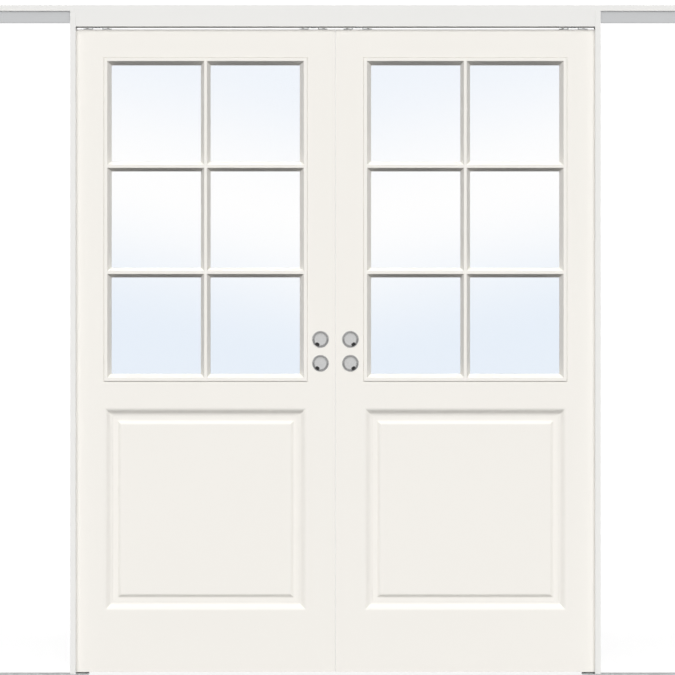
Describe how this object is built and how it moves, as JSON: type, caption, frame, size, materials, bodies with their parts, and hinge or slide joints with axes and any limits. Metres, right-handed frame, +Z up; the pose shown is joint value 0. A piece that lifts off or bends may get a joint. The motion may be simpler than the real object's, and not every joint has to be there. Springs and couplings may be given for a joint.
{
  "type": "double pocket door",
  "caption": "Pair of top-hung glazed and panelled sliding leaves with round cup pulls, in a slim double pocket frame with head track.",
  "frame": {"origin": "on the floor, at the middle of the frame's length and depth, below the line where the closed leaves meet", "axes": "+X along the track to the right of the pictured side, +Y away from the pictured side, +Z up"},
  "size_m": [3.24, 0.075, 2.124],
  "materials": {
    "white_lacquer": "satin white lacquer",
    "white_primer": "matt white primer",
    "clear_glass": "clear float glass",
    "satin_chrome": "satin chrome",
    "anodised_aluminium": "natural anodised",
    "galvanised_steel": "galvanised",
    "cast_zinc": "die-cast zinc",
    "grey_nylon": "moulded nylon",
    "bare_pine": "planed pine",
    "black_rubber": "matt rubber"
  },
  "bodies": {
    "pocket_frame": {"frame_head": "white_primer", "head_track": "anodised_aluminium", "front_head_lining": "white_primer", "rear_head_lining": "white_primer", "track_stops": "grey_nylon", "stop_buffers": "black_rubber", "left_front_jamb": "white_primer", "left_rear_jamb": "white_primer", "left_pocket_post": "bare_pine", "left_pocket_studs": "galvanised_steel", "left_floor_plate": "galvanised_steel", "left_floor_guide": "grey_nylon", "right_front_jamb": "white_primer", "right_rear_jamb": "white_primer", "right_pocket_post": "bare_pine", "right_pocket_studs": "galvanised_steel", "right_floor_plate": "galvanised_steel", "right_floor_guide": "grey_nylon"},
    "left_leaf": {"left_outer_stile": "white_lacquer", "left_meeting_stile": "white_lacquer", "left_top_rail": "white_lacquer", "left_lock_rail": "white_lacquer", "left_bottom_rail": "white_lacquer", "left_panel": "white_lacquer", "left_front_glazing_frame": "white_lacquer", "left_rear_glazing_frame": "white_lacquer", "left_glass_pane": "clear_glass", "left_front_upper_pull": "satin_chrome", "left_front_lower_pull": "satin_chrome", "left_rear_upper_pull": "satin_chrome", "left_rear_lower_pull": "satin_chrome", "left_hanger_plates": "galvanised_steel", "left_hanger_bolts": "galvanised_steel", "left_inner_trolley": "cast_zinc", "left_outer_trolley": "cast_zinc"},
    "right_leaf": {"right_outer_stile": "white_lacquer", "right_meeting_stile": "white_lacquer", "right_top_rail": "white_lacquer", "right_lock_rail": "white_lacquer", "right_bottom_rail": "white_lacquer", "right_panel": "white_lacquer", "right_front_glazing_frame": "white_lacquer", "right_rear_glazing_frame": "white_lacquer", "right_glass_pane": "clear_glass", "right_front_upper_pull": "satin_chrome", "right_front_lower_pull": "satin_chrome", "right_rear_upper_pull": "satin_chrome", "right_rear_lower_pull": "satin_chrome", "right_hanger_plates": "galvanised_steel", "right_hanger_bolts": "galvanised_steel", "right_inner_trolley": "cast_zinc", "right_outer_trolley": "cast_zinc"},
    "left_inner_trolley_lead_wheels": {"left_inner_trolley_lead_wheels": "grey_nylon"},
    "left_inner_trolley_tail_wheels": {"left_inner_trolley_tail_wheels": "grey_nylon"},
    "left_outer_trolley_lead_wheels": {"left_outer_trolley_lead_wheels": "grey_nylon"},
    "left_outer_trolley_tail_wheels": {"left_outer_trolley_tail_wheels": "grey_nylon"},
    "right_inner_trolley_lead_wheels": {"right_inner_trolley_lead_wheels": "grey_nylon"},
    "right_inner_trolley_tail_wheels": {"right_inner_trolley_tail_wheels": "grey_nylon"},
    "right_outer_trolley_lead_wheels": {"right_outer_trolley_lead_wheels": "grey_nylon"},
    "right_outer_trolley_tail_wheels": {"right_outer_trolley_tail_wheels": "grey_nylon"}
  },
  "joints": [
    {"name": "left_leaf_slide", "type": "slide", "parent": "pocket_frame", "child": "left_leaf", "axis": [-1, 0, 0], "range_m": [0, 0.735]},
    {"name": "left_inner_trolley_lead_wheels_roll", "type": "hinge", "parent": "left_leaf", "child": "left_inner_trolley_lead_wheels", "pos_m": [-0.0465, 0, 2.0843], "axis": [0, -1, 0], "continuous": true},
    {"name": "left_inner_trolley_tail_wheels_roll", "type": "hinge", "parent": "left_leaf", "child": "left_inner_trolley_tail_wheels", "pos_m": [-0.0945, 0, 2.0843], "axis": [0, -1, 0], "continuous": true},
    {"name": "left_outer_trolley_lead_wheels_roll", "type": "hinge", "parent": "left_leaf", "child": "left_outer_trolley_lead_wheels", "pos_m": [-0.7315, 0, 2.0843], "axis": [0, -1, 0], "continuous": true},
    {"name": "left_outer_trolley_tail_wheels_roll", "type": "hinge", "parent": "left_leaf", "child": "left_outer_trolley_tail_wheels", "pos_m": [-0.7795, 0, 2.0843], "axis": [0, -1, 0], "continuous": true},
    {"name": "right_leaf_slide", "type": "slide", "parent": "pocket_frame", "child": "right_leaf", "axis": [1, 0, 0], "range_m": [0, 0.735]},
    {"name": "right_inner_trolley_lead_wheels_roll", "type": "hinge", "parent": "right_leaf", "child": "right_inner_trolley_lead_wheels", "pos_m": [0.0465, 0, 2.0843], "axis": [0, 1, 0], "continuous": true},
    {"name": "right_inner_trolley_tail_wheels_roll", "type": "hinge", "parent": "right_leaf", "child": "right_inner_trolley_tail_wheels", "pos_m": [0.0945, 0, 2.0843], "axis": [0, 1, 0], "continuous": true},
    {"name": "right_outer_trolley_lead_wheels_roll", "type": "hinge", "parent": "right_leaf", "child": "right_outer_trolley_lead_wheels", "pos_m": [0.7315, 0, 2.0843], "axis": [0, 1, 0], "continuous": true},
    {"name": "right_outer_trolley_tail_wheels_roll", "type": "hinge", "parent": "right_leaf", "child": "right_outer_trolley_tail_wheels", "pos_m": [0.7795, 0, 2.0843], "axis": [0, 1, 0], "continuous": true}
  ],
  "couplings": [
    {"joint": "left_inner_trolley_lead_wheels_roll", "follows": "left_leaf_slide", "rad_per_m": 90.909},
    {"joint": "left_inner_trolley_tail_wheels_roll", "follows": "left_leaf_slide", "rad_per_m": 90.909},
    {"joint": "left_outer_trolley_lead_wheels_roll", "follows": "left_leaf_slide", "rad_per_m": 90.909},
    {"joint": "left_outer_trolley_tail_wheels_roll", "follows": "left_leaf_slide", "rad_per_m": 90.909},
    {"joint": "right_inner_trolley_lead_wheels_roll", "follows": "right_leaf_slide", "rad_per_m": 90.909},
    {"joint": "right_inner_trolley_tail_wheels_roll", "follows": "right_leaf_slide", "rad_per_m": 90.909},
    {"joint": "right_outer_trolley_lead_wheels_roll", "follows": "right_leaf_slide", "rad_per_m": 90.909},
    {"joint": "right_outer_trolley_tail_wheels_roll", "follows": "right_leaf_slide", "rad_per_m": 90.909}
  ]
}
